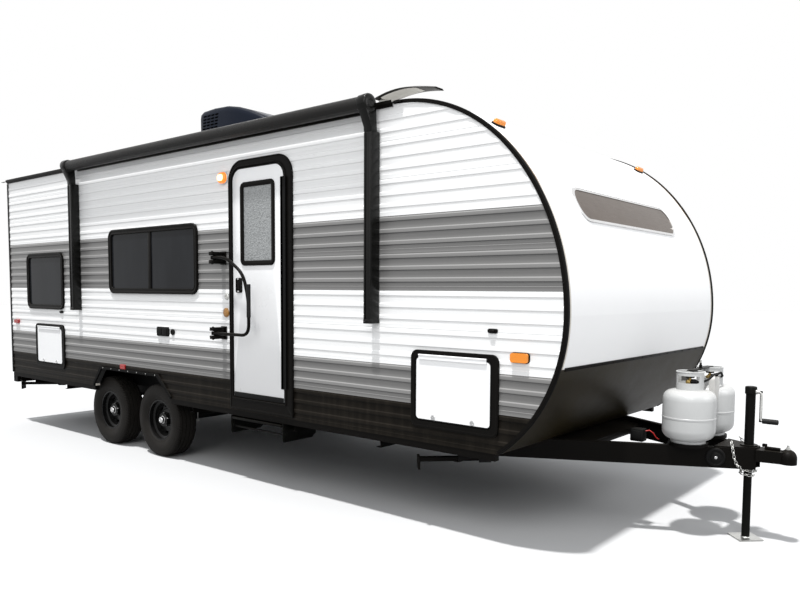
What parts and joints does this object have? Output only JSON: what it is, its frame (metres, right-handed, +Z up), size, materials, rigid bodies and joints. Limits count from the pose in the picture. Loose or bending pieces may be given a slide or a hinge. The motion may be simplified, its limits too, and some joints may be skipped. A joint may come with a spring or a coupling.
{
  "type": "travel trailer caravan",
  "caption": "Travel trailer with a rounded nose and ribbed siding on tandem axles: entry door, folding grab handle, luggage hatches, awning, stabilizers and tongue jack.",
  "frame": {"origin": "on the ground at the middle of the footprint", "axes": "+X forward to the hitch, +Y to the left, +Z up"},
  "size_m": [7.951, 2.6199, 3.27],
  "materials": {
    "frame_black": "satin",
    "jack_black": "satin",
    "zinc": "satin",
    "bottle_white": "gloss",
    "brass": "satin",
    "siding_white": "satin",
    "siding_grey": "satin",
    "siding_black": "satin",
    "shell_white": "satin",
    "roof_white": "matte",
    "deck": "matte",
    "guard_black": "embossed",
    "trim_black": "satin",
    "tinted_glass": "gloss",
    "frosted_glass": "satin",
    "well_black": "matte",
    "axle_black": "satin",
    "spring_steel": "matte",
    "awning_fabric": "matte",
    "awning_black": "satin",
    "unit_black": "satin",
    "vent_white": "matte",
    "lid_smoke": "gloss",
    "step_black": "satin",
    "amber": "gloss",
    "red": "gloss",
    "door_white": "satin",
    "handle_black": "satin",
    "rim_black": "gloss",
    "tyre": "matte"
  },
  "bodies": {
    "trailer": {"main_rails": "frame_black", "cross_members": "frame_black", "a_frame": "frame_black", "coupler": "frame_black", "jack_tube": "jack_black", "bottle_tray": "frame_black", "gas_bottles": "bottle_white", "gas_fittings": "brass", "safety_chains": "zinc", "floor_deck": "deck", "wall_right": "shell_white", "wall_left": "shell_white", "wall_rear": "shell_white", "roof_panel": "roof_white", "front_panel": "shell_white", "rock_guard": "guard_black", "siding_white": "siding_white", "siding_grey": "siding_grey", "siding_black": "siding_black", "edge_trim": "trim_black", "gutter_rails": "trim_black", "door_frame": "trim_black", "hatch_frames": "trim_black", "window_frames": "trim_black", "window_glass": "tinted_glass", "wheel_wells": "well_black", "axles": "axle_black", "leaf_springs": "spring_steel", "awning_roller": "awning_fabric", "awning_arms": "awning_black", "roof_air_unit": "unit_black", "roof_fittings": "vent_white", "step_frame": "step_black", "stabilizer_brackets": "frame_black", "rear_bumper": "frame_black", "amber_lamps": "amber", "red_lamps": "red", "grab_brackets": "trim_black"},
    "jack_leg": {"jack_leg": "zinc"},
    "entry_door": {"entry_door": "door_white", "door_glass": "frosted_glass"},
    "grab_handle": {"grab_handle": "handle_black"},
    "hatch_front_right": {"hatch_front_right": "door_white"},
    "hatch_front_left": {"hatch_front_left": "door_white"},
    "hatch_rear_right": {"hatch_rear_right": "door_white"},
    "vent_lid_front": {"vent_lid_front": "lid_smoke"},
    "vent_lid_rear": {"vent_lid_rear": "lid_smoke"},
    "step_tread": {"step_tread": "step_black"},
    "stabilizer_front_right": {"stabilizer_front_right": "frame_black"},
    "stabilizer_front_left": {"stabilizer_front_left": "frame_black"},
    "stabilizer_rear_right": {"stabilizer_rear_right": "frame_black"},
    "stabilizer_rear_left": {"stabilizer_rear_left": "frame_black"},
    "wheel_right_rear": {"rim_right_rear": "rim_black", "tyre_right_rear": "tyre"},
    "wheel_right_front": {"rim_right_front": "rim_black", "tyre_right_front": "tyre"},
    "wheel_left_rear": {"rim_left_rear": "rim_black", "tyre_left_rear": "tyre"},
    "wheel_left_front": {"rim_left_front": "rim_black", "tyre_left_front": "tyre"}
  },
  "joints": [
    {"name": "wheel_right_rear_spin", "type": "hinge", "parent": "trailer", "child": "wheel_right_rear", "pos_m": [-1.9105, -0.9665, 0.331], "axis": [0, 1, 0], "continuous": true},
    {"name": "wheel_right_front_spin", "type": "hinge", "parent": "trailer", "child": "wheel_right_front", "pos_m": [-1.0505, -0.9665, 0.331], "axis": [0, 1, 0], "continuous": true},
    {"name": "wheel_left_rear_spin", "type": "hinge", "parent": "trailer", "child": "wheel_left_rear", "pos_m": [-1.9105, 1.0985, 0.331], "axis": [0, 1, 0], "continuous": true},
    {"name": "wheel_left_front_spin", "type": "hinge", "parent": "trailer", "child": "wheel_left_front", "pos_m": [-1.0505, 1.0985, 0.331], "axis": [0, 1, 0], "continuous": true},
    {"name": "door_swing", "type": "hinge", "parent": "trailer", "child": "entry_door", "pos_m": [0.8295, -1.174, 1.5], "axis": [0, 0, 1], "range_deg": [0, 90]},
    {"name": "handle_swing", "type": "hinge", "parent": "trailer", "child": "grab_handle", "pos_m": [0.0715, -1.257, 1.471], "axis": [0, 0, -1], "range_deg": [0, 180]},
    {"name": "hatch_front_right_lift", "type": "hinge", "parent": "trailer", "child": "hatch_front_right", "pos_m": [2.3305, -1.171, 1.124], "axis": [-1, 0, 0], "range_deg": [0, 165]},
    {"name": "hatch_front_left_lift", "type": "hinge", "parent": "trailer", "child": "hatch_front_left", "pos_m": [2.3305, 1.303, 1.124], "axis": [1, 0, 0], "range_deg": [0, 165]},
    {"name": "hatch_rear_right_lift", "type": "hinge", "parent": "trailer", "child": "hatch_rear_right", "pos_m": [-2.9135, -1.171, 1.115], "axis": [-1, 0, 0], "range_deg": [0, 165]},
    {"name": "vent_lid_front_tilt", "type": "hinge", "parent": "trailer", "child": "vent_lid_front", "pos_m": [0.4795, 0.066, 2.9095], "axis": [0, -1, 0], "range_deg": [0, 70]},
    {"name": "vent_lid_rear_tilt", "type": "hinge", "parent": "trailer", "child": "vent_lid_rear", "pos_m": [-2.9305, 0.066, 2.9095], "axis": [0, -1, 0], "range_deg": [0, 70]},
    {"name": "jack_slide", "type": "slide", "parent": "trailer", "child": "jack_leg", "axis": [0, 0, 1], "range_m": [0, 0.36]},
    {"name": "step_fold", "type": "hinge", "parent": "trailer", "child": "step_tread", "pos_m": [0.4605, -1.124, 0.441], "axis": [-1, 0, 0], "range_deg": [0, 180]},
    {"name": "stabilizer_front_right_drop", "type": "hinge", "parent": "trailer", "child": "stabilizer_front_right", "pos_m": [2.3195, -0.794, 0.446], "axis": [0.7071, -0.7071, 0], "range_deg": [0, 78]},
    {"name": "stabilizer_front_left_drop", "type": "hinge", "parent": "trailer", "child": "stabilizer_front_left", "pos_m": [2.3195, 0.926, 0.446], "axis": [-0.7071, -0.7071, 0], "range_deg": [0, 78]},
    {"name": "stabilizer_rear_right_drop", "type": "hinge", "parent": "trailer", "child": "stabilizer_rear_right", "pos_m": [-3.4305, -0.794, 0.446], "axis": [0.7071, -0.7071, 0], "range_deg": [0, 78]},
    {"name": "stabilizer_rear_left_drop", "type": "hinge", "parent": "trailer", "child": "stabilizer_rear_left", "pos_m": [-3.4305, 0.926, 0.446], "axis": [-0.7071, -0.7071, 0], "range_deg": [0, 78]}
  ],
  "couplings": [
    {"joint": "handle_swing", "follows": "door_swing", "ratio": 2}
  ]
}
